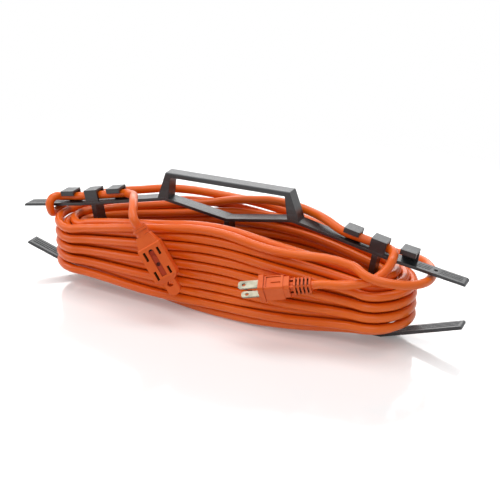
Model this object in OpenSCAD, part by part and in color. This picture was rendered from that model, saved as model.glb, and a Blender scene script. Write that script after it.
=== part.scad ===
// Outdoor extension cord wound in long loops on a flat carrying winder.
// X runs along the winder, Y through its thickness, Z up. The origin is under the middle of
// the lower rail, on the surface that the winder stands on.

/* [Winder] */
// Width of every strip of the frame, front to back
strip_w = 13; // [11:0.5:16]
// Thickness of the rails
rail_t = 2.8; // [2:0.1:4]
// Half of the overall length, at the arm tips
tip_x = 218; // [205:1:240]
// Height of the upper arm tips, top face
tip_z = 64.3; // [60:0.5:70]
// Distance from the middle to the bend in each upper arm
knee_x = 154; // [152:0.5:158]
// Height of the upper rail at that bend
knee_z = 75; // [72:0.5:78]
// Distance from the middle to the foot of the handle
foot_x = 63; // [60:1:75]
// Height of the upper rail at the handle foot
foot_z = 95; // [92:0.5:100]
// Height of the upper rail at the dip in the middle
dip_z = 85; // [82:0.5:90]
// Half length of the flat part of the lower rail
base_x = 148; // [140:1:156]
// Height of the lower arm tips, top face
low_tip_z = 25; // [18:0.5:28]
// Radius of the nail hole in the right upper arm
nail_hole_r = 1.7; // [1.2:0.1:2.5]
// Distance from the middle to the nail hole
nail_hole_x = 191; // [185:1:205]
// Depth of the moulded lines along the arms
groove_depth = 0.5; // [0.3:0.1:0.8]
// Width of each moulded line
groove_w = 1; // [0.6:0.1:1.4]
// Distance between the moulded lines
groove_pitch = 2.8; // [2:0.1:3.2]

/* [Posts] */
// Width of the middle post
centre_post_w = 4.6; // [3:0.2:8]
// Width of the end posts
end_post_w = 5; // [3:0.5:8]
// Distance from the middle to the top of each end post
end_post_top_x = 139; // [136:0.5:141]
// Distance from the middle to the bottom of each end post
end_post_base_x = 127; // [115:1:140]

/* [Handle] */
// Height of the top of the handle
handle_z = 119.2; // [112:0.5:135]
// Half length of the top of the handle
handle_half = 60.5; // [54:0.5:64]
// Thickness of the grip bar
grip_t = 4.2; // [3:0.1:7]
// Width of each leg under the grip
leg_w = 4.6; // [3:0.1:8]
// How far each foot reaches outside the leg's top
foot_flare = 9; // [4:0.5:12]
// Width of each foot on the rail
foot_w = 11; // [8:0.5:16]
// Radius that rounds the grip's long edges
grip_round = 1.4; // [0.6:0.1:2]

/* [Clips] */
// Distances from the middle to the three clips on each arm
clip_x = [115.5, 140, 166.5];
// Length of a clip along the arm
clip_w = 14; // [10:0.5:16]
// Outside height of a clip
clip_h = 11.4; // [11.2:0.1:15]
// Thickness of a clip's wall and top plate
clip_t = 2; // [1.4:0.1:2.2]
// Thickness of a clip's lip
lip_t = 1.8; // [1.2:0.1:2.2]
// How far the lip hangs down from the top of the clip
lip_h = 4.6; // [3:0.1:5]

/* [Cord] */
// Diameter of the cord
cord_d = 7.8; // [6:0.1:8]
// Distance between the centres of neighbouring turns
cord_pitch = 8.8; // [8.7:0.05:9]
// Number of turns stacked in each layer
level_count = 10; // [4:1:10]
// Distance between neighbouring levels at the ends, where they nest
end_level_pitch = 5; // [4.7:0.05:5.1]
// Height of the lowest turn's centre at the ends
end_bottom_z = 15.2; // [15:0.1:16]
// Height of the lowest turn's centre along the sides
side_bottom_z = 4.4; // [4.4:0.1:8]
// Distance from the middle to the centre of the left end turns
left_turn_x = 140; // [138:0.5:144]
// Distance from the middle to the centre of the right end turns
right_turn_x = 135; // [134:0.5:138]
// Radius of the innermost end turn
turn_r = 14; // [13.5:0.5:16]
// How far the innermost turn stands from the frame at the middle
side_bulge = 26.5; // [24:0.5:28]
// How high the last turn is lifted before the right end, over the plug's lead
last_turn_lift = 12; // [11:0.5:13]
// How far the last turn swings out past the others at the right end
last_turn_swing = 16; // [8:0.5:17]

/* [Plug] */
// Height of the plug's flange, across both blades
plug_flange_h = 20; // [19:0.5:22]
// Width of the plug's flange
plug_flange_w = 17; // [15:0.5:18]
// Thickness of the flange
plug_flange_t = 4.5; // [3:0.5:6]
// Height of the plug's grip
plug_grip_h = 17; // [16.6:0.1:18]
// Width of the plug's grip
plug_grip_w = 15; // [13:0.5:16]
// Length of the plug from its face to the end of the grip
plug_grip_l = 26; // [24:0.5:30]
// Length of the strain relief behind the grip
relief_l = 18; // [14:0.5:22]
// Diameter over the strain relief's ribs
relief_d = 13; // [12:0.5:14]
// Width of one rib
relief_rib_w = 1.8; // [1.4:0.1:2]
// Number of ribs
relief_rib_count = 5; // [3:1:6]
// Distance between the two blades' middles
blade_spacing = 12.7; // [12.5:0.1:12.9]
// Thickness of a blade
blade_t = 1.5; // [1.4:0.05:1.6]
// Width of the neutral blade
neutral_blade_w = 7.9; // [7.5:0.1:8.1]
// Width of the line blade
line_blade_w = 6.3; // [6:0.1:6.6]
// Length of a blade in front of the plug's face
blade_l = 17.5; // [16:0.1:18.2]
// Diameter of the hole in a blade
blade_hole_d = 3.2; // [2.6:0.1:3.6]

/* [Connector] */
// Width of the outlet block
block_w = 21.5; // [21:0.5:26]
// Thickness of the outlet block
block_t = 16; // [15.6:0.1:18]
// Distance from the cord's entry to the outlet face
face_start = 18.8; // [17:0.1:20]
// Distance from the cord's entry to the end of the outlet face
face_end = 50.6; // [50.4:0.1:51]
// Overall length of the connector
connector_l = 68.4; // [67:0.1:74]
// Width of the lug at the free end
lug_w = 11; // [9:0.5:14]
// Thickness of the lug
lug_t = 10; // [6:0.5:12]
// Radius of the hang hole through the lug
hang_hole_r = 2.65; // [2:0.05:3]
// Distance from the cord's entry to the hang hole
hang_hole_x = 57.4; // [57.3:0.1:59]
// Distances from the cord's entry to the two outlets
outlet_x = [26.9, 45.8];
// Width of an outlet slot
slot_t = 2.2; // [2:0.1:2.6]
// Length of the neutral slots
neutral_slot_l = 8.4; // [8.3:0.1:8.6]
// Length of the line slots
line_slot_l = 6.8; // [6.7:0.1:7.2]
// Thickness of the face over the shutter
face_t = 2; // [1.6:0.1:2.4]
// Width of the channel between the slots
channel_w = 4.8; // [4.2:0.1:5.2]
// Travel of the shutter
shutter_travel = 5.6; // [5:0.1:5.7]
// Thickness of the shutter's plate
shutter_t = 1.6; // [1.2:0.1:2]
// Running clearance around the shutter
shutter_clear = 0.3; // [0.2:0.05:0.4]

/* [Hidden] */
fit_gap = 0.3;      // clearance between the cord and hard pieces
seat_gap = 0.1;     // clearance of a moulded pocket around its insert
overcut = 1;        // how far a cutting shape runs past the face that it opens
cord_r = cord_d / 2;
orange = [0.91, 0.36, 0.12];
deep_orange = [0.75, 0.22, 0.08];
charcoal = [0.15, 0.15, 0.16];
nickel = [0.82, 0.82, 0.76];
brass = [0.8, 0.65, 0.3];
$fn = 32;

function mix(a, b, share) = a + (b - a) * share;
function unit(v) = v / norm(v);

// ---- Winder -------------------------------------------------------------------------------

upper_line = [[0, dip_z], [foot_x, foot_z], [knee_x, knee_z], [tip_x, tip_z]];
lower_line = [[0, rail_t], [base_x, rail_t], [tip_x, low_tip_z]];
tip_chamfer = rail_t / 2;

function upper_z(x) = lookup(abs(x), upper_line);
function lower_z(x) = lookup(abs(x), lower_line);
function mirrored(line) = concat([for (i = [len(line) - 1 : -1 : 1]) [-line[i].x, line[i].y]], line);

// A flat outline in X and Z, made as thick as the frame's strips
module strip(width = strip_w) {
    rotate([90, 0, 0]) linear_extrude(width, center = true) children();
}

// The outline of a rail whose top follows a line, with eased tips
module rail_outline(line) {
    tops = mirrored(line);
    last = len(tops) - 1;
    undersides = [for (i = [last : -1 : 0]) tops[i] - [0, rail_t]];
    eased_tops = [for (i = [0 : last])
        i == 0 ? tops[i] + [tip_chamfer, 0] : i == last ? tops[i] - [tip_chamfer, 0] : tops[i]];
    polygon(concat([tops[0] - [0, tip_chamfer]], eased_tops, [tops[last] - [0, tip_chamfer]], undersides));
}

// Lines along the top face of a stretch of rail
module grooves(line, from_x, to_x) {
    z_from = lookup(from_x, line);
    z_to = lookup(to_x, line);
    for (row = [-1 : 1])
        translate([0, row * groove_pitch, 0])
            strip(groove_w)
                polygon([
                    [from_x, z_from - groove_depth], [from_x, z_from + overcut],
                    [to_x, z_to + overcut], [to_x, z_to - groove_depth]
                ]);
}

clip_edge_x = clip_x[2] + clip_w / 2;

module winder_upper_rail() {
    color(charcoal)
        difference() {
            strip() rail_outline(upper_line);
            translate([nail_hole_x, 0, 0]) cylinder(h = 2 * tip_z, r = nail_hole_r);
            for (side = [0, 1]) mirror([side, 0, 0]) {
                grooves(upper_line, clip_edge_x + 2, nail_hole_x - 4);
                grooves(upper_line, nail_hole_x + 4, tip_x - 4);
            }
        }
}

module winder_lower_rail() {
    color(charcoal)
        difference() {
            strip() rail_outline(lower_line);
            for (side = [0, 1]) mirror([side, 0, 0])
                grooves(lower_line, base_x + 4, tip_x - 4);
        }
}

module end_post() {
    top_in = end_post_top_x - end_post_w / 2;
    top_out = end_post_top_x + end_post_w / 2;
    base_in = end_post_base_x - end_post_w / 2;
    base_out = end_post_base_x + end_post_w / 2;
    color(charcoal)
        strip() polygon([
            [base_in, lower_z(base_in)], [base_out, lower_z(base_out)],
            [top_out, upper_z(top_out) - rail_t], [top_in, upper_z(top_in) - rail_t]
        ]);
}

module winder_right_post() {
    end_post();
}

module winder_left_post() {
    mirror([1, 0, 0]) end_post();
}

module winder_centre_post() {
    half = centre_post_w / 2;
    color(charcoal)
        strip() polygon([
            [-half, lower_z(half)], [half, lower_z(half)],
            [half, upper_z(half) - rail_t], [0, upper_z(0) - rail_t], [-half, upper_z(half) - rail_t]
        ]);
}

module winder_handle() {
    outer_foot = handle_half + foot_flare;
    inner_foot = outer_foot - foot_w;
    inner_top = handle_half - leg_w;
    opening_z = handle_z - grip_t;
    half_line = [
        [handle_half, handle_z], [outer_foot, upper_z(outer_foot)], [foot_x, foot_z],
        [inner_foot, upper_z(inner_foot)], [inner_top, opening_z]
    ];
    outline = concat(half_line, [for (i = [len(half_line) - 1 : -1 : 0]) [-half_line[i].x, half_line[i].y]]);
    color(charcoal)
        difference() {
            strip() polygon(outline);
            for (side = [-1, 1])
                translate([0, side * strip_w / 2, handle_z]) grip_edge(side);
        }
}

// The corner that is cut away along a long top edge of the grip, to leave it round
module grip_edge(side) {
    difference() {
        cube([2 * handle_half + overcut, 2 * grip_round, 2 * grip_round], center = true);
        translate([0, -side * grip_round, -grip_round])
            rotate([0, 90, 0]) cylinder(h = 2 * handle_half + 2 * overcut, r = grip_round, center = true);
    }
}

// ---- Clips --------------------------------------------------------------------------------

function upper_slope(x) = atan((upper_z(x - clip_w / 2) - upper_z(x + clip_w / 2)) / clip_w);

// A hook that stands on the rail and opens to the front: wall, top plate and short lip
module clip(index) {
    x = clip_x[index];
    wall_y = strip_w / 2;
    profile = [
        [wall_y, 0], [wall_y, clip_h], [-wall_y, clip_h], [-wall_y, clip_h - lip_h],
        [lip_t - wall_y, clip_h - lip_h], [lip_t - wall_y, clip_h - clip_t],
        [wall_y - clip_t, clip_h - clip_t], [wall_y - clip_t, 0]
    ];
    color(charcoal)
        translate([x, 0, upper_z(x)])
            rotate([0, upper_slope(x), 0])
                rotate([90, 0, 90]) linear_extrude(clip_w, center = true) polygon(profile);
}

// The middle clip of an arm opens to the back
module right_clip(index) {
    if (index == 1) mirror([0, 1, 0]) clip(index);
    else clip(index);
}

module left_clip(index) {
    mirror([1, 0, 0]) right_clip(index);
}

module left_clip_1() { left_clip(0); }
module left_clip_2() { left_clip(1); }
module left_clip_3() { left_clip(2); }
module right_clip_1() { right_clip(0); }
module right_clip_2() { right_clip(1); }
module right_clip_3() { right_clip(2); }

// ---- Cord: sweeping a tube ------------------------------------------------------------------

// Direction of a route at one of its points
function tangent(route, i) =
    unit(route[min(i + 1, len(route) - 1)] - route[max(i - 1, 0)]);

// One ring of a tube, square to the route
function ring(route, i, sides) =
    let (
        along = tangent(route, i),
        across = unit(cross(along, [0, 0, 1])),
        upward = cross(across, along)
    )
    [for (k = [0 : sides - 1])
        let (turn = 360 * k / sides)
        route[i] + cord_r * (cos(turn) * across + sin(turn) * upward)];

module tube(route, sides) {
    count = len(route);
    points = [for (i = [0 : count - 1]) each ring(route, i, sides)];
    walls = [for (i = [0 : count - 2], k = [0 : sides - 1])
        let (
            a = i * sides + k,
            b = i * sides + (k + 1) % sides
        )
        each [[a, b, a + sides], [b, b + sides, a + sides]]];
    first_cap = [for (k = [1 : sides - 2]) [0, k + 1, k]];
    last_ring = (count - 1) * sides;
    last_cap = [for (k = [1 : sides - 2]) [last_ring, last_ring + k, last_ring + k + 1]];
    polyhedron(points, concat(walls, first_cap, last_cap), convexity = 10);
}

// ---- Cord: the winding ----------------------------------------------------------------------
// The cord goes down the inner layer and back up the outer one. Along the sides the turns lie
// straight above one another. At the ends every second turn stands further out, so that the
// levels nest between the arms.

side_x = 60;                // where the straight part of a side ends
end_rings = 9;              // rings in one end turn
end_sweep = 200;            // angle that these rings cover
end_spread = 0.12;          // how far the levels have opened up at its first and last ring
side_spread = 0.74;         // the same where the straight part of a side ends
lift_shares = [1, 0.85, 0.5, 0.2];  // how much of the last turn's lift its first rings have
turn_rings = 2 * (end_rings + 3);
end_layer_pitch = 2 * sqrt(pow(cord_pitch, 2) - pow(end_level_pitch, 2));
inner_turns = level_count;
turn_count = 2 * level_count - 1;
top_level = level_count - 1;

function turn_x(hand) = hand < 0 ? left_turn_x : right_turn_x;

// Half the width of the innermost turn beside the frame
function side_y(x) = turn_r + (side_bulge - turn_r) * (1 - pow(x / turn_x(x), 2));

function turn_level(turn) = abs(top_level - turn);
function left_layer(turn) = turn < inner_turns ? 0 : 1;
function right_layer(turn) = turn < inner_turns - 1 ? 0 : 1;

// Centre of the cord. spread is 0 where the levels nest and 1 where they are stacked.
function nest(origin, outward, layer, level, spread, lift = 0, swing = 0) =
    let (
        level_pitch = mix(end_level_pitch, cord_pitch, spread),
        stagger = sqrt(max(0, pow(cord_pitch, 2) - pow(level_pitch, 2))),
        layer_pitch = mix(end_layer_pitch, cord_pitch, spread),
        odd = level % 2 == 1 ? 1 : 0,
        reach = layer * layer_pitch + odd * stagger + swing,
        height = mix(end_bottom_z, side_bottom_z, spread) + level * level_pitch + lift
    )
    [origin.x + reach * outward.x, origin.y + reach * outward.y, height];

function end_point(hand, step, layer, level, lift = 0, swing = 0) =
    let (
        angle = end_sweep * (step / (end_rings - 1) - 0.5),
        outward = [hand * cos(angle), hand * sin(angle)],
        spread = step == 0 || step == end_rings - 1 ? end_spread : 0
    )
    nest([hand * turn_x(hand), 0] + turn_r * outward, outward, layer, level, spread, lift, swing);

function side_point(x, back, layer, level) =
    nest([x, back * side_y(x)], [0, back], layer, level, x == 0 ? 1 : side_spread);

// The ring of the last turn at the right end
function last_end_point(step, layer, level) =
    end_point(1, step, layer, level, step < len(lift_shares) ? last_turn_lift * lift_shares[step] : 0,
        last_turn_swing * sin(180 * step / (end_rings - 1)));

// The rings of one turn: left end, front, right end, back
function turn_points(turn) =
    let (
        level = turn_level(turn),
        next_level = turn_level(turn + 1),
        left = left_layer(turn),
        right = right_layer(turn),
        last = turn == turn_count - 1
    )
    concat(
        [for (step = [0 : end_rings - 1]) end_point(-1, step, left, level)],
        [for (k = [-1 : 1]) side_point(k * side_x, -1, mix(left, right, (k + 1) / 2), level)],
        [for (step = [0 : end_rings - 1])
            last ? last_end_point(step, right, level) : end_point(1, step, right, level)],
        last ? [side_point(side_x, 1, right, level)] :
        [for (k = [-1 : 1]) side_point(-k * side_x, 1, right, mix(level, next_level, (k + 1) / 2))]
    );

winding_first = side_point(-side_x, 1, 0, top_level);
winding_core = concat([winding_first], [for (turn = [0 : turn_count - 1]) each turn_points(turn)]);
winding_in = unit(winding_core[1] - winding_core[0]);
winding_out = unit(winding_core[len(winding_core) - 1] - winding_core[len(winding_core) - 2]);
winding_start = winding_first - cord_d * winding_in;
winding_end = winding_core[len(winding_core) - 1] + cord_d * winding_out;
winding_route = concat([winding_start], winding_core, [winding_end]);

module cord_winding() {
    color(orange) tube(winding_route, 6);
}

// ---- Cord: the two leads --------------------------------------------------------------------

clip_seat_z = (clip_h - clip_t) / 2;
clip_seat_y = (clip_t - lip_t) / 2;

// Centre of a cord that lies in a clip. hand is -1 on the left arm, depth 1 in a middle clip.
function in_clip(hand, index, along = 0) =
    let (
        x = clip_x[index] + along,
        depth = index == 1 ? 1 : -1
    )
    [hand * x, depth * clip_seat_y, upper_z(x) + clip_seat_z];

plug_l = plug_grip_l + relief_l;
plug_place = [57.3, -59.4, 50.4];
plug_turn = [26, -9, 16];
connector_place = [-62.7, -53.7, 84.4];
connector_turn = [60, 55.5, -4];

// Where a point of a placed piece lies, for the turn given as rotate() takes it
function turned(p, turn) =
    let (
        a = [p.x, p.y * cos(turn.x) - p.z * sin(turn.x), p.y * sin(turn.x) + p.z * cos(turn.x)],
        b = [a.x * cos(turn.y) + a.z * sin(turn.y), a.y, a.z * cos(turn.y) - a.x * sin(turn.y)]
    )
    [b.x * cos(turn.z) - b.y * sin(turn.z), b.x * sin(turn.z) + b.y * cos(turn.z), b.z];

plug_exit = plug_place + turned([plug_l, 0, 0], plug_turn);
plug_run = plug_place + turned([plug_l + cord_d, 0, 0], plug_turn);
connector_run = connector_place + turned([-cord_d, 0, 0], connector_turn);

plug_lead_route = concat(
    [winding_start, winding_start - cord_d * winding_in],
    [[-24, 26, 86], [-6, 25, 91], [14, 23, 95], [34, 21, 98], [54, 18, 98], [74, 13, 96.5], [92, 5, 94.5]],
    [in_clip(1, 0, -9), in_clip(1, 0, 9), in_clip(1, 1, -9), in_clip(1, 1, 9)],
    [[155, -5, 80], [157, -13, 78], [156, -20, 73], [152, -27, 68], [145, -34, 64], [136, -40, 62]],
    [[124, -45, 61]],
    [plug_run, plug_exit]
);

connector_lead_route = concat(
    [winding_end, winding_end + cord_d * winding_out],
    [[30, 34, 86], [10, 35, 88], [-12, 35, 89], [-36, 34, 90], [-60, 33, 90], [-84, 31, 88]],
    [[-106, 29, 84], [-128, 27, 80], [-148, 26, 75], [-166, 22, 71], [-180, 15, 67], [-185, 4, 61]],
    [[-185, -6, 60], [-184, -12, 66], [-184, -12, 73], [-182, -7, 77]],
    [in_clip(-1, 2, 10), in_clip(-1, 2, -9), in_clip(-1, 1, 9), in_clip(-1, 1, -9)],
    [in_clip(-1, 0, 9), in_clip(-1, 0, -9)],
    [[-100, -5, 92], [-91, -13, 95], [-83, -26, 98], [-75, -40, 97]],
    [connector_run, connector_place]
);

module plug_lead() {
    color(orange) tube(plug_lead_route, 8);
}

module connector_lead() {
    color(orange) tube(connector_lead_route, 8);
}

// Length of a route, from the given point on
function route_length(route, i = 0) =
    i > len(route) - 2 ? 0 : norm(route[i + 1] - route[i]) + route_length(route, i + 1);

// Least gap of the winding to itself, from four points on each span to those of every other turn
samples = [for (i = [0 : len(winding_core) - 2], k = [0 : 3])
    mix(winding_core[i], winding_core[i + 1], k / 4)];
period = 4 * turn_rings;
least_gap = min([for (i = [0 : len(samples) - 1 - period], other = [i + period : period : len(samples) - 2])
    min([for (shift = [-1 : 1]) norm(samples[i] - samples[other + shift])])]) - cord_d;
echo(winding_length = route_length(winding_route), plug_lead_length = route_length(plug_lead_route),
    connector_lead_length = route_length(connector_lead_route));
echo(least_gap_of_winding = least_gap, turns = turn_count);

// ---- Plug -----------------------------------------------------------------------------------
// Its own frame: the face is at X 0, the cord leaves along +X, and the blades stand one above
// the other along Z.

module at_plug() {
    translate(plug_place) rotate(plug_turn) children();
}

bridge_x = 3;
bridge_l = 8;
bridge_w = 10;
bridge_h = blade_spacing + blade_t;
crimp_r = 1.6;
crimp_l = 6;
crimp_inset = 2;
crimp_z = blade_spacing / 2 - crimp_inset;
wire_r = 1.4;
wire_lap = 0.5;
wire_y = 1.95;
wire_bore_r = 3.6;
root_x = bridge_x + bridge_l;
crimp_x = root_x + crimp_l;
wire_bend_x = crimp_x + 1;
wire_join_x = crimp_x + 7;

// A box with its four long edges cut at 45 degrees, lying along X
module eased_bar(length, width, height, ease) {
    rotate([90, 0, 90]) linear_extrude(length) polygon([
        [-width / 2, ease - height / 2], [ease - width / 2, -height / 2],
        [width / 2 - ease, -height / 2], [width / 2, ease - height / 2],
        [width / 2, height / 2 - ease], [width / 2 - ease, height / 2],
        [ease - width / 2, height / 2], [-width / 2, height / 2 - ease]
    ]);
}

// A cylinder along X
module rod(x, length, radius) {
    translate([x, 0, 0]) rotate([0, 90, 0]) cylinder(h = length, r = radius);
}

// A core round the cord with square ribs, which four rails join at their corners
module plug_relief() {
    rib_pitch = (relief_l - relief_rib_w) / relief_rib_count;
    rail = 2;
    rail_place = relief_d / 2 - 2.6;
    rod(plug_grip_l, relief_l, cord_r + 0.4);
    for (i = [1 : relief_rib_count])
        translate([plug_grip_l + i * rib_pitch, 0, 0])
            eased_bar(relief_rib_w, relief_d - 0.2 * i, relief_d - 0.2 * i, 2.4);
    for (y = [-1, 1], z = [-1, 1])
        translate([plug_grip_l + relief_l / 2, y * rail_place, z * rail_place])
            cube([relief_l, rail, rail], center = true);
}

// The pressed-in panel on a grip face, with a thumb ridge left in it
module grip_panel() {
    smooth_l = 9;  // of the grip, before and behind the panel
    panel_l = plug_grip_l - plug_flange_t - smooth_l;
    translate([plug_flange_t + 2, -plug_grip_w / 2 + 2, plug_grip_h / 2 - 0.8])
        difference() {
            cube([panel_l, plug_grip_w - 4, 0.8 + overcut]);
            translate([panel_l / 3, (plug_grip_w - 4) / 2 - 0.6, -overcut])
                cube([panel_l, 1.2, 3 * overcut]);
        }
}

module plug_body() {
    color(orange) at_plug() difference() {
        union() {
            eased_bar(plug_flange_t, plug_flange_w, plug_flange_h, 1.5);
            translate([plug_flange_t, 0, 0])
                eased_bar(plug_grip_l - plug_flange_t - 5, plug_grip_w, plug_grip_h, 1.2);
            translate([plug_grip_l - 5, 0, 0]) eased_bar(5, plug_grip_w - 0.6, plug_grip_h - 1.6, 2.2);
            plug_relief();
        }
        grip_panel();
        mirror([0, 0, 1]) grip_panel();
        plug_cavity();
    }
}

// The hollow that the insert, the blades' roots and the wires fill
module plug_cavity() {
    room_h = blade_spacing / 2 + blade_t / 2 + seat_gap;
    translate([bridge_x - seat_gap, -bridge_w / 2 - seat_gap, -bridge_h / 2 - seat_gap])
        cube([bridge_l + 2 * seat_gap, bridge_w + 2 * seat_gap, bridge_h + 2 * seat_gap]);
    for (blade = blades())
        translate([0, 0, blade[0] * blade_spacing / 2])
            cube([4 * bridge_x, blade[1] + 2 * seat_gap, blade_t + 2 * seat_gap], center = true);
    rotate([90, 0, 0]) linear_extrude(2 * (crimp_r + fit_gap), center = true) polygon([
        [root_x, -room_h], [root_x, room_h], [crimp_x + seat_gap, room_h], [wire_join_x, wire_bore_r],
        [wire_join_x + overcut, wire_bore_r], [wire_join_x + overcut, -wire_bore_r],
        [wire_join_x, -wire_bore_r], [crimp_x + seat_gap, -room_h]
    ]);
    rod(wire_join_x - overcut, plug_l - wire_join_x + 2 * overcut, wire_bore_r);
}

// Side and width of the two blades
function blades() = [[1, neutral_blade_w], [-1, line_blade_w]];

// One insulated conductor, from its crimp to the end of the cord
module plug_wire(side) {
    bend = [wire_bend_x, 0, side * crimp_z];
    join = [wire_join_x, 0, side * wire_y];
    at_plug() {
        joined([crimp_x, 0, side * crimp_z], bend, wire_r, 0, wire_lap);
        joined(bend, join, wire_r, wire_lap, wire_lap);
        joined(join, [plug_l, 0, side * wire_y], wire_r, wire_lap, 0);
    }
}

module plug_bridge() {
    color(charcoal) at_plug() difference() {
        translate([bridge_x, -bridge_w / 2, -bridge_h / 2]) cube([bridge_l, bridge_w, bridge_h]);
        for (blade = blades())
            translate([bridge_x + bridge_l / 2, 0, blade[0] * (blade_spacing + overcut) / 2])
                cube([bridge_l + 2 * overcut, blade[1], blade_t + overcut], center = true);
    }
}

// A flat blade with an eased tip, a hole, and a crimp barrel for its wire
module blade(side, width) {
    tip = 1.6;
    hole_x = 4.9 - blade_l;
    color(nickel) at_plug() translate([0, 0, side * blade_spacing / 2]) {
        difference() {
            linear_extrude(blade_t, center = true) polygon([
                [-blade_l, tip - width / 2], [tip - blade_l, -width / 2],
                [root_x, -width / 2], [root_x, -crimp_r], [crimp_x, -crimp_r],
                [crimp_x, crimp_r], [root_x, crimp_r], [root_x, width / 2],
                [tip - blade_l, width / 2], [-blade_l, width / 2 - tip]
            ]);
            translate([hole_x, 0, 0]) cylinder(h = 4 * blade_t, d = blade_hole_d, center = true);
        }
        translate([0, 0, -side * crimp_inset]) rod(root_x + seat_gap, crimp_l - seat_gap, crimp_r);
    }
}

module neutral_blade() { blade(1, neutral_blade_w); }
module line_blade() { blade(-1, line_blade_w); }
module plug_neutral_wire() { color("white") plug_wire(1); }
module plug_line_wire() { color("black") plug_wire(-1); }

// ---- Connector ------------------------------------------------------------------------------
// Its own frame: the cord enters at X 0, the lug is at the far end, and the outlet face looks
// along +Z.

module at_connector() {
    translate(connector_place) rotate(connector_turn) children();
}

face_z = block_t / 2;
neck_r = 6.5;
neck_l = 9;
slot_y = blade_spacing / 2;
pocket_top = face_z - face_t;
shutter_w = 2 * (slot_y + slot_t / 2) + 1.6;
shutter_start = outlet_x[0] - neutral_slot_l / 2 + 1.5;
shutter_end = outlet_x[1] + neutral_slot_l / 2 + 1;
finger_x = outlet_x[0] + 10.4;
finger_r = 1.8;
channel_start = outlet_x[0] - neutral_slot_l / 2 - 0.1;
channel_end = outlet_x[1] + 2.6;
strip_start = channel_start + shutter_travel + shutter_clear;
strip_end = channel_end - shutter_clear;
pocket_h = shutter_t + 2 * shutter_clear;
carrier_top = pocket_top - pocket_h;
carrier_h = 8.4;
carrier_w = shutter_w + 0.4;
carrier_start = 20;
carrier_end = shutter_end + 0.8;
leaf_t = 0.6;
leaf_gap = 1.2;
bus_t = 0.8;
contact_room_w = 4;
bus_z = carrier_top - carrier_h + 1;
contact_crimp_x = carrier_start + 2;
contact_wire_z = bus_z + bus_t + crimp_r;

// Outline of the connector seen on its face
module connector_outline() {
    half = block_w / 2;
    polygon([
        [neck_l, -neck_r], [face_start, 1 - half], [face_start + 1, -half], [face_end, -half],
        [face_end + 2, 1.5 - half], [face_end + 4, -lug_w / 2 - 1], [face_end + 5, -lug_w / 2],
        [face_end + 5, lug_w / 2], [face_end + 4, lug_w / 2 + 1], [face_end + 2, half - 1.5],
        [face_end, half], [face_start + 1, half], [face_start, half - 1], [neck_l, neck_r]
    ]);
}

// Outline of the connector seen from its side: a neck, a shoulder, the face and a falling end
module connector_side() {
    polygon([
        [neck_l, -neck_r], [face_start, -face_z], [face_end, -face_z], [face_end + 4, -lug_t / 2],
        [face_end + 4, lug_t / 2], [face_end, face_z], [face_start + 1, face_z],
        [face_start, face_z - 1.2], [neck_l + 2, neck_r - 0.4], [neck_l, neck_r - 0.4]
    ]);
}

module connector_shell() {
    intersection() {
        translate([0, 0, -block_t]) linear_extrude(2 * block_t) connector_outline();
        rotate([90, 0, 0]) linear_extrude(2 * block_w, center = true) connector_side();
    }
    rod(0, neck_l + 1, neck_r - 0.5);
    rod(2.5, 2.2, neck_r + 0.4);
    hang_lug();
}

module hang_lug() {
    translate([face_end + 2, -lug_w / 2, -lug_t / 2])
        cube([connector_l - face_end - 2 - lug_w / 2, lug_w, lug_t]);
    translate([connector_l - lug_w / 2, 0, -lug_t / 2]) cylinder(h = lug_t, d = lug_w);
}

// One upright slot of an outlet, from above the face down to the given depth
module slot(outlet, side, depth, slack = 0) {
    length = (side < 0 ? neutral_slot_l : line_slot_l) + slack;
    translate([outlet_x[outlet] - length / 2, side * slot_y - (slot_t + slack) / 2, face_z - depth])
        cube([length, slot_t + slack, depth + overcut]);
}

module slots(depth, slack = 0) {
    for (outlet = [0, 1], side = [-1, 1]) slot(outlet, side, depth, slack);
}

module shutter_pocket() {
    translate([shutter_start - shutter_travel - shutter_clear, -shutter_w / 2 - shutter_clear, carrier_top])
        cube([
            shutter_end - shutter_start + shutter_travel + 2 * shutter_clear,
            shutter_w + 2 * shutter_clear, pocket_h
        ]);
}

// A bar along X with a round upper end
module tongue(start, end, width, height) {
    translate([start + width / 2, 0, 0]) {
        cylinder(h = height, d = width);
        translate([0, -width / 2, 0]) cube([end - start - width / 2, width, height]);
    }
}

// The opening that the shutter's strip shows through
module channel() {
    translate([0, 0, pocket_top - overcut])
        tongue(channel_start, channel_end, channel_w, face_t + 2 * overcut);
}

module connector_body() {
    color(orange) at_connector() difference() {
        connector_shell();
        slots(face_t + overcut);
        channel();
        shutter_pocket();
        translate([carrier_start - seat_gap, -carrier_w / 2 - seat_gap, carrier_top - carrier_h - seat_gap])
            cube([
                carrier_end - carrier_start + 2 * seat_gap, carrier_w + 2 * seat_gap,
                carrier_h + seat_gap + 0.01
            ]);
        wire_room();
        translate([hang_hole_x, 0, -lug_t]) cylinder(h = 3 * lug_t, r = hang_hole_r);
    }
}

// The sliding plate that closes the slots from inside, with the strip that a finger moves
module outlet_shutter() {
    plate_z = carrier_top + shutter_clear;
    strip_top = face_z - 0.8;
    color(deep_orange) at_connector() difference() {
        union() {
            translate([shutter_start, -shutter_w / 2, plate_z])
                cube([shutter_end - shutter_start, shutter_w, shutter_t]);
            translate([0, 0, plate_z])
                tongue(strip_start, strip_end, channel_w - 2 * shutter_clear, strip_top - plate_z);
        }
        slots(block_t / 2, 0.2);
        translate([finger_x, 0, plate_z + shutter_t / 2])
            cylinder(h = face_t + overcut, r = finger_r);
    }
}

// The block under the shutter that holds both rows of contacts
module contact_carrier() {
    color(charcoal) at_connector() difference() {
        translate([carrier_start, -carrier_w / 2, carrier_top - carrier_h])
            cube([carrier_end - carrier_start, carrier_w, carrier_h]);
        for (side = [-1, 1])
            translate([carrier_start - overcut, side * slot_y - contact_room_w / 2, bus_z])
                cube([carrier_end - carrier_start + overcut - 1, contact_room_w, carrier_h]);
    }
}

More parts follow.
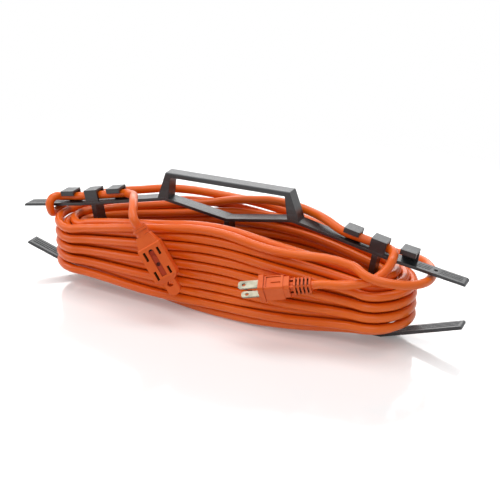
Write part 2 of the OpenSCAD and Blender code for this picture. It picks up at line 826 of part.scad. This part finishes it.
// A brass bus with a pair of spring leaves under each of its outlets
module contacts(side, leaf_l) {
    leaf_h = carrier_h - 2;
    color(brass) at_connector() translate([0, side * slot_y, 0]) {
        translate([carrier_start + 4, -contact_room_w / 2 + 0.2, bus_z])
            cube([outlet_x[1] + leaf_l / 2 - carrier_start - 4, contact_room_w - 0.4, bus_t]);
        for (x = outlet_x, hand = [-1, 1])
            translate([x - leaf_l / 2, 0, bus_z + bus_t])
                rotate([90, 0, 90]) linear_extrude(leaf_l) spring_leaf(hand, leaf_h - bus_t);
        translate([0, 0, contact_wire_z - seat_gap]) rod(contact_crimp_x, crimp_l - 2, crimp_r);
    }
}

// A leaf that leans in to grip the blade and flares out at its mouth
module spring_leaf(hand, height) {
    foot = contact_room_w / 2 - 0.3;
    polygon([
        [hand * foot, 0], [hand * (foot - leaf_t), 0],
        [hand * leaf_gap / 2, height * 0.7], [hand * (leaf_gap / 2 + 0.4), height],
        [hand * (leaf_gap / 2 + 0.4 + leaf_t), height], [hand * (leaf_gap / 2 + leaf_t), height * 0.7]
    ]);
}

// The hollow from the cord's end to the contacts
module wire_room() {
    rod(-overcut, neck_l + 2 * overcut, wire_bore_r);
    translate([0, 0, contact_wire_z - wire_r - fit_gap])
        linear_extrude(wire_bore_r - contact_wire_z + wire_r) polygon([
            [neck_l, -wire_bore_r], [carrier_start, -slot_y - wire_r],
            [carrier_start, slot_y + wire_r], [neck_l, wire_bore_r]
        ]);
}

// One insulated conductor, from the cord's end to its crimp
module connector_wire(side) {
    bend = [neck_l, side * wire_y, 0];
    landing = [carrier_start + 1, side * slot_y, contact_wire_z];
    at_connector() {
        joined([0, side * wire_y, 0], bend, wire_r, 0, wire_lap);
        joined(bend, landing, wire_r, wire_lap, wire_lap);
        joined(landing, [contact_crimp_x, side * slot_y, contact_wire_z], wire_r, wire_lap, 0);
    }
}

// A cylinder from one point to another, run on by a lap past either
module joined(from, to, radius, lap_before, lap_after) {
    run = to - from;
    flat = norm([run.x, run.y]);
    translate(from) rotate([0, 90 - atan2(run.z, flat), atan2(run.y, run.x)])
        translate([0, 0, -lap_before]) cylinder(h = norm(run) + lap_before + lap_after, r = radius);
}

module neutral_contacts() { contacts(-1, neutral_slot_l - 1); }
module line_contacts() { contacts(1, line_slot_l - 1); }
module connector_neutral_wire() { color("white") connector_wire(-1); }
module connector_line_wire() { color("black") connector_wire(1); }

winder_upper_rail();
winder_lower_rail();
winder_left_post();
winder_centre_post();
winder_right_post();
winder_handle();
left_clip_1();
left_clip_2();
left_clip_3();
right_clip_1();
right_clip_2();
right_clip_3();
cord_winding();
plug_lead();
connector_lead();
plug_body();
plug_bridge();
neutral_blade();
line_blade();
plug_neutral_wire();
plug_line_wire();
connector_body();
outlet_shutter();
neutral_contacts();
line_contacts();
contact_carrier();
connector_neutral_wire();
connector_line_wire();
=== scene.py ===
# %% [markdown]
# # An outdoor extension cord on its winder
# This notebook dresses a finished CAD model of an orange extension cord that is wound in
# long loops on a flat plastic winder. The CAD model gives every size and place, and the
# cells below add what CAD leaves out: the flowing cord, the finishes, the studio and the
# camera. Everything is in metres, X along the winder, Y through it and Z up.
#
# The first cell loads the CAD model as a fixed frame. Each of its solids is an object
# whose mesh already lies in its place, so nothing has to be moved.

import math

import bmesh
import bpy
from mathutils import Matrix, Vector


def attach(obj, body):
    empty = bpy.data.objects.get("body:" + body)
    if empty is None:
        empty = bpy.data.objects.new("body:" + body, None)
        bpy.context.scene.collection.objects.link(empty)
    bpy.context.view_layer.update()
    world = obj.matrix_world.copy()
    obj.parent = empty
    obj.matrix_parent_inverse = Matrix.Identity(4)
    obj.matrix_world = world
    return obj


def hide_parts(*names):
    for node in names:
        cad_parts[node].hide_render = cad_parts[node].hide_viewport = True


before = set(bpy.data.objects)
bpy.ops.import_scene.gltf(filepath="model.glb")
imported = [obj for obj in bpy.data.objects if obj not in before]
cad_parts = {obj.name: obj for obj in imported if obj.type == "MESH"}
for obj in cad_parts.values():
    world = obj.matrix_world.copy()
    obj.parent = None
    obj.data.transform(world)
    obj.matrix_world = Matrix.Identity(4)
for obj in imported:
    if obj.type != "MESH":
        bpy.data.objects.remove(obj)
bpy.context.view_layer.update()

# %% [markdown]
# ## The camera
# A product picture of a long, low object is taken from a little above and from one side,
# so that the front and the top both show. The camera stands a metre away with a short
# telephoto lens, which keeps the handle and the arms from looking stretched.
#
# A camera looks along its own minus Z. `to_track_quat` turns that axis to the target and
# keeps the camera level.

# %% Camera
MM = 0.001


def mm(*numbers):
    """A point or size given in millimetres, as a vector in metres."""
    return Vector(numbers) * MM


def add_camera(place, target, lens):
    data = bpy.data.cameras.new("camera")
    data.lens = lens
    data.sensor_width = 36.0
    data.clip_start = 0.05
    camera = bpy.data.objects.new("camera", data)
    camera.location = place
    camera.rotation_mode = "QUATERNION"
    camera.rotation_quaternion = (target - place).to_track_quat("-Z", "Y")
    bpy.context.scene.collection.objects.link(camera)
    bpy.context.scene.camera = camera
    return camera


camera = add_camera(mm(415.6, -845.7, 460.1), mm(20.1, 0.0, 55.9), 81.85)
print("camera at", tuple(round(v, 3) for v in camera.location))

# %% [markdown]
# ## How the cord lies
# The cord is one long tube that runs round the two end posts again and again. It goes down
# the inner layer and back up the outer one. Beside the frame the turns lie straight above
# one another. At the ends every second turn stands further out, so that the levels sink
# into one another and fit between the arms.
#
# A winding follows a rule, so it is worked out and not drawn: each station of a turn has
# an origin beside the frame, a direction that points away from it, a layer and a level.
# The sizes below are the CAD model's own, in millimetres and degrees.

# %% Sizes of the winding
CORD_D = 7.8
CORD_PITCH = 8.8
LEVELS = 10
END_LEVEL_PITCH = 5.0
END_BOTTOM_Z = 15.2
SIDE_BOTTOM_Z = 4.4
LEFT_TURN_X = 140.0
RIGHT_TURN_X = 135.0
TURN_R = 14.0
SIDE_BULGE = 26.5
SIDE_X = 60.0
END_RINGS = 9
END_SWEEP = 200.0
END_SPREAD = 0.12
SIDE_SPREAD = 0.74
LAST_LIFT = 12.0
LAST_SWING = 16.0
LIFT_SHARES = (1.0, 0.85, 0.5, 0.2)
TURNS = 2 * LEVELS - 1
END_LAYER_PITCH = 2 * math.sqrt(CORD_PITCH**2 - END_LEVEL_PITCH**2)
print("winding of", TURNS, "turns, layers", round(END_LAYER_PITCH, 1), "mm apart at the ends")

# %% One station of a turn


def mix(a, b, share):
    return a + (b - a) * share


def turn_x(hand):
    return LEFT_TURN_X if hand < 0 else RIGHT_TURN_X


def nest(origin, outward, layer, level, spread, lift=0.0, swing=0.0):
    """Centre of the cord. spread is 0 where the levels nest and 1 where they are stacked."""
    level_pitch = mix(END_LEVEL_PITCH, CORD_PITCH, spread)
    stagger = math.sqrt(max(0.0, CORD_PITCH**2 - level_pitch**2))
    layer_pitch = mix(END_LAYER_PITCH, CORD_PITCH, spread)
    odd = 1 if level % 2 == 1 else 0
    reach = layer * layer_pitch + odd * stagger + swing
    height = mix(END_BOTTOM_Z, SIDE_BOTTOM_Z, spread) + level * level_pitch + lift
    return mm(origin[0] + reach * outward[0], origin[1] + reach * outward[1], height)


def end_point(hand, step, layer, level, lift=0.0, swing=0.0):
    angle = math.radians(END_SWEEP * (step / (END_RINGS - 1) - 0.5))
    outward = (hand * math.cos(angle), hand * math.sin(angle))
    origin = (hand * turn_x(hand) + TURN_R * outward[0], TURN_R * outward[1])
    spread = END_SPREAD if step in (0, END_RINGS - 1) else 0.0
    return nest(origin, outward, layer, level, spread, lift, swing)


def side_point(x, back, layer, level):
    y = TURN_R + (SIDE_BULGE - TURN_R) * (1 - (x / turn_x(x)) ** 2)
    return nest((x, back * y), (0, back), layer, level, 1.0 if x == 0 else SIDE_SPREAD)


def last_end_point(step, layer, level):
    """The last turn swings out and rises at the right end, to pass over the plug's lead."""
    lift = LAST_LIFT * LIFT_SHARES[step] if step < len(LIFT_SHARES) else 0.0
    swing = LAST_SWING * math.sin(math.pi * step / (END_RINGS - 1))
    return end_point(1, step, layer, level, lift, swing)


print("end and side stations ready, for example", tuple(round(v, 3) for v in side_point(0, -1, 0, 0)))

# %% [markdown]
# ## All turns in one line
# The turns follow one another without a break. Each goes round the left end, along the
# front, round the right end and along the back, where it steps to the next level. The first
# half of them lies in the inner layer, and the rest comes back in the outer one. The cord
# runs straight for one diameter at both ends, so that the leads meet it squarely.

# %% Route of the winding
SIDE_SHARES = (-1, 0, 1)


def turn_points(turn):
    """One turn: left end, front, right end, back."""
    level = abs(LEVELS - 1 - turn)
    next_level = abs(LEVELS - 2 - turn)
    left = 0 if turn < LEVELS else 1
    right = 0 if turn < LEVELS - 1 else 1
    last = turn == TURNS - 1
    points = [end_point(-1, step, left, level) for step in range(END_RINGS)]
    for share in SIDE_SHARES:
        points.append(side_point(share * SIDE_X, -1, mix(left, right, (share + 1) / 2), level))
    for step in range(END_RINGS):
        points.append(last_end_point(step, right, level) if last else end_point(1, step, right, level))
    if last:
        points.append(side_point(SIDE_X, 1, right, level))
    else:
        for share in SIDE_SHARES:
            between_levels = mix(level, next_level, (share + 1) / 2)
            points.append(side_point(-share * SIDE_X, 1, right, between_levels))
    return points


core = [side_point(-SIDE_X, 1, 0, LEVELS - 1)]
for turn in range(TURNS):
    core += turn_points(turn)
winding_in = (core[1] - core[0]).normalized()
winding_out = (core[-1] - core[-2]).normalized()
winding_start = core[0] - CORD_D * MM * winding_in
winding_end = core[-1] + CORD_D * MM * winding_out
winding_route = [winding_start, *core, winding_end]
print("winding route:", len(winding_route), "points")

# %% [markdown]
# ## The two free ends
# One end of the cord leaves the winding behind the frame, lies in two clips on the right
# arm and comes forward to the plug. The other end goes the long way round behind, curls
# round the left arm, lies in its three clips and hangs down in front to the connector.
#
# Their routes are points that were set one by one: these follow no
# rule. Where they lie in a clip, the point is worked out from the arm's own line.

# %% Routes of the leads
ARM_LINE = ((0.0, 85.0), (63.0, 95.0), (154.0, 75.0), (218.0, 64.3))
CLIP_X = (115.5, 140.0, 166.5)
CLIP_H = 11.4
CLIP_T = 2.0
LIP_T = 1.8
CLIP_SEAT_Z = (CLIP_H - CLIP_T) / 2
CLIP_SEAT_Y = (CLIP_T - LIP_T) / 2


def arm_top(x):
    """Height of the upper rail's top face."""
    for (x0, z0), (x1, z1) in zip(ARM_LINE, ARM_LINE[1:]):
        if x <= x1:
            return mix(z0, z1, (x - x0) / (x1 - x0))
    return ARM_LINE[-1][1]


def in_clip(hand, index, along=0.0):
    x = CLIP_X[index] + along
    depth = CLIP_SEAT_Y if index == 1 else -CLIP_SEAT_Y
    return mm(hand * x, depth, arm_top(x) + CLIP_SEAT_Z)


def placing(place, turn):
    """The matrix of a piece that is turned about X, then Y, then Z, and put in its place."""
    x, y, z = (math.radians(angle) for angle in turn)
    turned = Matrix.Rotation(z, 4, "Z") @ Matrix.Rotation(y, 4, "Y") @ Matrix.Rotation(x, 4, "X")
    return Matrix.Translation(place) @ turned


AT_PLUG = placing(mm(57.3, -59.4, 50.4), (26.0, -9.0, 16.0))
AT_CONNECTOR = placing(mm(-62.7, -53.7, 84.4), (60.0, 55.5, -4.0))
PLUG_L = 44.0

plug_lead_route = [
    winding_start,
    winding_start - CORD_D * MM * winding_in,
    mm(-24, 26, 86), mm(-6, 25, 91), mm(14, 23, 95), mm(34, 21, 98), mm(54, 18, 98),
    mm(74, 13, 96.5), mm(92, 5, 94.5),
    in_clip(1, 0, -9), in_clip(1, 0, 9), in_clip(1, 1, -9), in_clip(1, 1, 9),
    mm(155, -5, 80), mm(157, -13, 78), mm(156, -20, 73), mm(152, -27, 68), mm(145, -34, 64),
    mm(136, -40, 62), mm(124, -45, 61),
    AT_PLUG @ mm(PLUG_L + CORD_D, 0, 0),
    AT_PLUG @ mm(PLUG_L, 0, 0),
]
connector_lead_route = [
    winding_end,
    winding_end + CORD_D * MM * winding_out,
    mm(30, 34, 86), mm(10, 35, 88), mm(-12, 35, 89), mm(-36, 34, 90), mm(-60, 33, 90),
    mm(-84, 31, 88), mm(-106, 29, 84), mm(-128, 27, 80), mm(-148, 26, 75), mm(-166, 22, 71),
    mm(-180, 15, 67), mm(-185, 4, 61), mm(-185, -6, 60), mm(-184, -12, 66), mm(-184, -12, 73),
    mm(-182, -7, 77),
    in_clip(-1, 2, 10), in_clip(-1, 2, -9), in_clip(-1, 1, 9), in_clip(-1, 1, -9),
    in_clip(-1, 0, 9), in_clip(-1, 0, -9),
    mm(-100, -5, 92), mm(-91, -13, 95), mm(-83, -26, 98), mm(-75, -40, 97),
    AT_CONNECTOR @ mm(-CORD_D, 0, 0),
    AT_CONNECTOR @ mm(0, 0, 0),
]


def route_length(route):
    return sum((b - a).length for a, b in zip(route, route[1:]))


print("leads:", round(route_length(plug_lead_route), 3), round(route_length(connector_lead_route), 3), "m")

# %% [markdown]
# ## Making a tube of a route
# Blender sweeps a round section along any curve: a Bezier spline with automatic handles
# passes smoothly through every point, and its bevel depth is the cord's radius. The curve
# is then made a mesh, because a mesh keeps the UV map that the sweep gives it. U runs along
# the cord and V round it, which lets a finish follow the cord round every bend.

# %% Cord objects


def sweep(name, route, diameter, steps=6, around=7):
    """A tube of the given diameter along a route, as a mesh with a UV map."""
    curve = bpy.data.curves.new(name + "_line", "CURVE")
    curve.dimensions = "3D"
    curve.resolution_u = steps
    curve.bevel_depth = diameter / 2
    curve.bevel_resolution = around
    curve.use_fill_caps = True
    spline = curve.splines.new("BEZIER")
    spline.bezier_points.add(len(route) - 1)
    for point, place in zip(spline.bezier_points, route):
        point.co = place
        point.handle_left_type = point.handle_right_type = "AUTO"
    line = bpy.data.objects.new(name + "_line", curve)
    bpy.context.scene.collection.objects.link(line)
    mesh = bpy.data.meshes.new_from_object(line)
    bpy.data.objects.remove(line)
    piece = bpy.data.objects.new(name, mesh)
    bpy.context.scene.collection.objects.link(piece)
    for polygon in mesh.polygons:
        polygon.use_smooth = True
    print(name, len(mesh.polygons), "faces", list(mesh.uv_layers.keys()))
    return piece


def lay_cord(name, route, node):
    piece = sweep(name, route, CORD_D * MM)
    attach(piece, "winder")
    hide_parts(node)
    route_length(route)
    return piece


wound_cord = lay_cord("wound_cord", winding_route, "cord_winding")
plug_cord = lay_cord(
    "plug_cord", plug_lead_route, "plug_lead"
)
connector_cord = lay_cord(
    "connector_cord", connector_lead_route, "connector_lead",
)

# %% [markdown]
# ## Shader maths as plain expressions
# A material is a graph of nodes. Written out by hand, every sum needs a node, an operation
# and two links. The small class below wraps a socket, so that `0.3 + 0.1 * mask` adds those
# nodes by itself.

# %% Sums of sockets


class Wire:
    """A value that flows between nodes. Arithmetic on it adds Math nodes."""

    def __init__(self, graph, socket):
        self.graph = graph
        self.socket = socket

    def _math(self, operation, a, b):
        return self.graph.node("ShaderNodeMath", {"operation": operation}, {0: a, 1: b})

    def __add__(self, other):
        return self._math("ADD", self, other)

    def __radd__(self, other):
        return self._math("ADD", other, self)

    def __sub__(self, other):
        return self._math("SUBTRACT", self, other)

    def __rsub__(self, other):
        return self._math("SUBTRACT", other, self)

    def __mul__(self, other):
        return self._math("MULTIPLY", self, other)

    def __rmul__(self, other):
        return self._math("MULTIPLY", other, self)

    def clamped(self):
        return self._math("MINIMUM", self._math("MAXIMUM", self, 0.0), 1.0)


print("sockets can be added, subtracted and multiplied")

# %% [markdown]
# ## Any other node from one method
# Noise, ramps and the rest differ only in their type, their settings and what goes into
# their sockets, so one method makes them all. Settings come first, because some of them
# change which sockets a node has. A link and a plain number are put in the same way.

# %% Graphs of nodes


class Graph:
    """The nodes of a material or of the world."""

    def __init__(self, tree):
        self.tree = tree

    def node(self, kind, settings=None, values=None, output=0):
        """Add a node and return one of its outputs, by place or by name."""
        made = self.tree.nodes.new(kind)
        for setting, value in (settings or {}).items():
            if setting == "stops":
                self._set_stops(made.color_ramp, value)
            else:
                setattr(made, setting, value)
        for key, value in (values or {}).items():
            self.put(made.inputs[key], value)
        return Wire(self, made.outputs[output])

    def _set_stops(self, ramp, stops):
        while len(ramp.elements) < len(stops):
            ramp.elements.new(1.0)
        for element, (place, colour) in zip(ramp.elements, stops):
            element.position = place
            element.color = colour

    def put(self, socket, value):
        if isinstance(value, Wire):
            self.tree.links.new(value.socket, socket)
        else:
            socket.default_value = value

    def seen_background(self):
        """1 for rays from the camera, in reflections and through glass, and 0 for all others."""
        kinds = ("Is Camera Ray", "Is Glossy Ray", "Is Transmission Ray")
        camera_ray, glossy_ray, passing_ray = (
            self.node("ShaderNodeLightPath", output=kind) for kind in kinds
        )
        return (camera_ray + glossy_ray + passing_ray).clamped()


print("graph helper ready")

# %% [markdown]
# ## A finish
# A finish is a material with one Principled shader. What is the same all over the surface
# is set on the shader's own sockets, and what changes from place to place is wired to them.
# Two of its helpers trace short rays over the piece itself: Ambient Occlusion finds grooves,
# which are darkened as painted shade, and Bevel shades sharp edges as if they were rounded.

# %% Finishes
OCCLUSION_SAMPLES = 8
BEVEL_SAMPLES = 4


class Finish(Graph):
    """A material that is built node by node around one Principled shader."""

    def __init__(self, name, **constants):
        self.material = bpy.data.materials.new(name)
        self.material.use_nodes = True
        super().__init__(self.material.node_tree)
        self.shader = self.tree.nodes["Principled BSDF"]
        self.feed(**constants)

    def feed(self, **values):
        """Set the shader's sockets, or wire them."""
        for name, value in values.items():
            self.put(self.shader.inputs[name.replace("_", " ")], value)

    def place(self, scale=(1.0, 1.0, 1.0), source="Object"):
        """Texture coordinates of the piece, stretched by a Mapping node."""
        start = self.node("ShaderNodeTexCoord", output=source)
        return self.node("ShaderNodeMapping", None, {"Vector": start, "Scale": scale})

    def noise(self, scale, detail=3.0, roughness=0.5, where=None):
        values = {"Scale": scale, "Detail": detail, "Roughness": roughness}
        values["Vector"] = self.place() if where is None else where
        return self.node("ShaderNodeTexNoise", None, values)

    def ramp(self, factor, *stops):
        """A colour from a value, by stops of place and colour."""
        return self.node("ShaderNodeValToRGB", {"stops": stops}, {"Fac": factor})

    def between(self, factor, low, high):
        """The factor's part from low to high, stretched to 0 to 1."""
        values = {"Value": factor, "From Min": low, "From Max": high}
        return self.node("ShaderNodeMapRange", {"clamp": True}, values)

    def hollows(self, reach):
        """0 in the open, and up to 1 in the piece's own grooves that are narrower than the reach."""
        settings = {"samples": OCCLUSION_SAMPLES, "only_local": True}
        openness = self.node("ShaderNodeAmbientOcclusion", settings, {"Distance": reach}, "AO")
        return (1.0 - openness).clamped()

    def bump(self, height, distance, edge=0.0):
        """Fine relief. Where edge is given, sharp edges shade as if rounded to that radius."""
        values = {"Height": height, "Distance": distance}
        if edge > 0.0:
            values["Normal"] = self.node("ShaderNodeBevel", {"samples": BEVEL_SAMPLES}, {"Radius": edge})
        return self.node("ShaderNodeBump", None, values)

    def paint(self, *pieces):
        for piece in pieces:
            piece.data.materials.clear()
            piece.data.materials.append(self.material)


def shade(red, green, blue):
    """A colour given as screen values from 0 to 255, as linear light with full alpha."""
    linear = [
        c / 12.92 if c <= 0.04045 else ((c + 0.055) / 1.055) ** 2.4
        for c in (red / 255, green / 255, blue / 255)
    ]
    return (*linear, 1.0)


print("finish helper ready, middle grey is", round(shade(128, 128, 128)[0], 3), "in linear light")

# %% [markdown]
# ## Vinyl of the cord
# The jacket is pressed through a die as one long tube. That leaves it smooth and a little
# shiny, with very fine lines along it, a slow change of tint from the batch and dull spots
# where it has rubbed on its neighbours. The lines follow the cord, so they read the UV map,
# and the rest reads Object coordinates.

# %% Cord jacket
LINE_BREAKS_PER_METRE = 40.0
LINES_ROUND_CORD = 46.0


def make_jacket(name, length):
    finish = Finish(name, Specular_IOR_Level=0.24, Coat_Roughness=0.18)
    slow = finish.noise(9.0, 2.0)
    rub = finish.between(finish.noise(60.0, 4.0, 0.6), 0.52, 0.72)
    along = finish.place((length * LINE_BREAKS_PER_METRE, LINES_ROUND_CORD, 1.0), "UV")
    lines = finish.noise(1.0, 2.0, 0.5, along)
    grain = finish.noise(1400.0, 2.0)
    colour = finish.ramp(
        slow * 0.7 + lines * 0.3,
        (0.3, shade(221, 89, 8)), (0.5, shade(231, 99, 13)), (0.72, shade(240, 111, 23)),
    )
    finish.feed(
        Base_Color=colour,
        Roughness=0.3 + 0.14 * rub + 0.06 * lines,
        Coat_Weight=0.28 - 0.22 * rub,
        Normal=finish.bump(lines * 0.7 + grain * 0.3, 0.06 * MM),
    )
    return finish


make_jacket("cord_vinyl_wound", route_length(winding_route)).paint(wound_cord)
make_jacket("cord_vinyl_plug", route_length(plug_lead_route)).paint(plug_cord)
make_jacket("cord_vinyl_connector", route_length(connector_lead_route)).paint(connector_cord)
print("cord painted")

# %% [markdown]
# ## Moulded plastics
# The plug and the connector are moulded over the cord's ends in a softer vinyl of nearly
# the same orange, with a fine spark-eroded grain and painted shade in their grooves. The
# winder is a stiff black plastic with a dull sheen and flow lines along its arms. Its edges
# are rounder than those of the small mouldings.

# %% Orange mouldings
GROOVE_REACH = 2.5 * MM
SHADE_SHARE = 0.22
SMALL_EDGE = 0.4 * MM


def solids(*names):
    return [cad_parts[name] for name in names]


def make_moulding(name, low, high):
    finish = Finish(name, Specular_IOR_Level=0.28)
    slow = finish.noise(45.0, 3.0)
    grain = finish.noise(2600.0, 3.0, 0.6)
    rub = finish.between(finish.noise(190.0, 5.0, 0.65), 0.5, 0.75)
    # Painted shade: the piece's own grooves and slots are darkened towards a fraction of the low colour.
    groove_shade = finish.between(finish.hollows(GROOVE_REACH), 0.25, 0.8)
    shade_colour = (*(channel * SHADE_SHARE for channel in low[:3]), 1.0)
    finish.feed(
        Base_Color=finish.ramp(
            slow * 0.8 + rub * 0.2 - 0.7 * groove_shade, (0.0, shade_colour), (0.3, low), (0.75, high)
        ),
        Roughness=0.42 + 0.14 * rub,
        Normal=finish.bump(grain, 0.08 * MM, SMALL_EDGE),
    )
    return finish


make_moulding("soft_vinyl", shade(218, 88, 26), shade(232, 106, 42)).paint(
    *solids("plug_body", "connector_body")
)
make_moulding("shutter_vinyl", shade(172, 52, 16), shade(198, 68, 26)).paint(
    *solids("outlet_shutter")
)
print("orange mouldings painted")

# %% Black winder plastic
WINDER_EDGE = 0.7 * MM
FLOW_STRETCH = (9.0, 1100.0, 300.0)
SCUFF_STRETCH = (40.0, 600.0, 200.0)
WINDER_NODES = [
    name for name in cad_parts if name.startswith("winder_") or "_clip_" in name
]


def make_winder_plastic():
    finish = Finish("winder_plastic", Specular_IOR_Level=0.7)
    slow = finish.noise(20.0, 3.0)
    flow = finish.noise(1.0, 4.0, 0.6, finish.place(FLOW_STRETCH))
    grain = finish.noise(1900.0, 3.0, 0.6)
    scuff = finish.between(finish.noise(1.0, 5.0, 0.65, finish.place(SCUFF_STRETCH)), 0.54, 0.72)
    finish.feed(
        Base_Color=finish.ramp(
            slow * 0.5 + scuff * 0.5, (0.2, shade(15, 17, 20)), (0.85, shade(50, 53, 58))
        ),
        Roughness=0.24 + 0.14 * flow + 0.14 * scuff,
        Normal=finish.bump(flow * 0.7 + grain * 0.3, 0.3 * MM, WINDER_EDGE),
    )
    return finish


make_winder_plastic().paint(*solids(*WINDER_NODES))
print("winder pieces:", len(WINDER_NODES))

# %% [markdown]
# ## Metal and inner pieces
# The blades are brass under bright nickel, drawn lengthwise, so their gloss is streaked.
# The contacts are bare brass, painted darker than brass as shade inside the slots. The wires and
# the carriers are hidden inside, but they still get their real colours, since the pieces are
# shown alone as well.

# %% Metals and inner plastics


def make_metal(name, low, high, streak):
    finish = Finish(name, Metallic=1.0)
    drawn = finish.noise(1.0, 4.0, 0.6, finish.place(streak))
    slow = finish.noise(150.0, 3.0)
    finish.feed(
        Base_Color=finish.ramp(slow, (0.3, low), (0.7, high)),
        Roughness=0.26 + 0.18 * drawn,
        Normal=finish.bump(drawn, 0.02 * MM),
    )
    return finish


make_metal("blade_nickel", shade(104, 102, 90), shade(146, 142, 126), (200.0, 3000.0, 3000.0)).paint(
    *solids("neutral_blade", "line_blade")
)
# Painted shade: the contacts' brass is darker than bare brass, for the shade inside the slots.
make_metal("contact_brass", shade(128, 84, 40), shade(158, 108, 58), (400.0, 400.0, 3000.0)).paint(
    *solids("neutral_contacts", "line_contacts")
)
make_moulding("insert_plastic", shade(28, 28, 30), shade(46, 46, 48)).paint(
    *solids("plug_bridge", "contact_carrier")
)
make_moulding("neutral_insulation", shade(214, 214, 208), shade(232, 232, 226)).paint(
    *solids("plug_neutral_wire", "connector_neutral_wire")
)
make_moulding("line_insulation", shade(22, 22, 24), shade(36, 36, 38)).paint(
    *solids("plug_line_wire", "connector_line_wire")
)
print("inner pieces painted")

# %% [markdown]
# ## The studio
# The object stands on a white, slightly glossy disc that fades out towards its rim, so that
# no horizon shows behind the object. It glows a little for the camera and in reflections,
# but lights nothing, so it is as white as the world and keeps the object's shadow.
#
# Large soft lamps stand above, behind, to the left and in front. The one behind gives the
# winder's top faces their sheen, and a narrow strip lamp draws a thin bright line along each
# turn of the cord, with a dark gap below it. The world is white only for the camera and in
# reflections, and a dim grey for everything else, so colours look as they are written.

# %% Floor
FLOOR_R = 1.5
FLOOR_STRETCH = (1.0, 1.6, 1.0)
FADE_START = 0.3
FADE_END = 0.8
FLOOR_GLOW = 0.17


def add_floor():
    shape = bmesh.new()
    bmesh.ops.create_circle(shape, cap_ends=True, segments=96, radius=FLOOR_R)
    mesh = bpy.data.meshes.new("floor")
    shape.to_mesh(mesh)
    shape.free()
    floor = bpy.data.objects.new("floor", mesh)
    bpy.context.scene.collection.objects.link(floor)
    finish = Finish(
        "floor_white", Roughness=0.12, Specular_IOR_Level=0.9, Emission_Strength=FLOOR_GLOW
    )
    white = finish.ramp(finish.noise(0.8), (0.0, shade(236, 236, 236)), (1.0, shade(240, 240, 240)))
    distance = finish.node(
        "ShaderNodeVectorMath", {"operation": "LENGTH"}, {0: finish.place(FLOOR_STRETCH)}, "Value"
    )
    finish.feed(
        Base_Color=white,
        Alpha=1.0 - finish.between(distance, FADE_START, FADE_END),
        Emission_Color=finish.seen_background(),
    )
    finish.paint(floor)
    return floor


print("floor", tuple(round(v, 2) for v in add_floor().dimensions))

# %% World and lamps
WORLD_LIGHT = 0.26
LAMP_TARGET = (0.0, 0.0, 0.05)


def set_world(light):
    """White where it is seen, and only as bright as the given light where it lights."""
    world = bpy.data.worlds.new("studio")
    world.use_nodes = True
    bpy.context.scene.world = world
    graph = Graph(world.node_tree)
    background = world.node_tree.nodes["Background"]
    graph.put(background.inputs["Color"], (1.0, 1.0, 1.0, 1.0))
    graph.put(background.inputs["Strength"], light + (1.0 - light) * graph.seen_background())


def add_lamp(name, place, size, power):
    data = bpy.data.lights.new(name, "AREA")
    data.shape = "RECTANGLE"
    data.size, data.size_y = size
    data.energy = power
    lamp = bpy.data.objects.new(name, data)
    lamp.location = place
    lamp.rotation_mode = "QUATERNION"
    lamp.rotation_quaternion = (Vector(LAMP_TARGET) - Vector(place)).to_track_quat("-Z", "Y")
    bpy.context.scene.collection.objects.link(lamp)
    print(name, power, "W")


set_world(WORLD_LIGHT)
add_lamp("top_lamp", place=(0.0, 0.2, 1.3), size=(1.5, 0.5), power=10.0)
add_lamp("back_lamp", place=(-0.6, 1.35, 0.75), size=(1.6, 0.7), power=10.0)
add_lamp("left_lamp", place=(-1.2, -0.5, 0.8), size=(0.9, 0.7), power=5.0)
add_lamp("front_lamp", place=(0.5, -1.3, 1.1), size=(1.0, 0.8), power=4.5)
add_lamp("strip_lamp", place=(-0.2, -0.8, 1.4), size=(1.4, 0.12), power=4.0)
bpy.context.scene.view_settings.view_transform = "Standard"
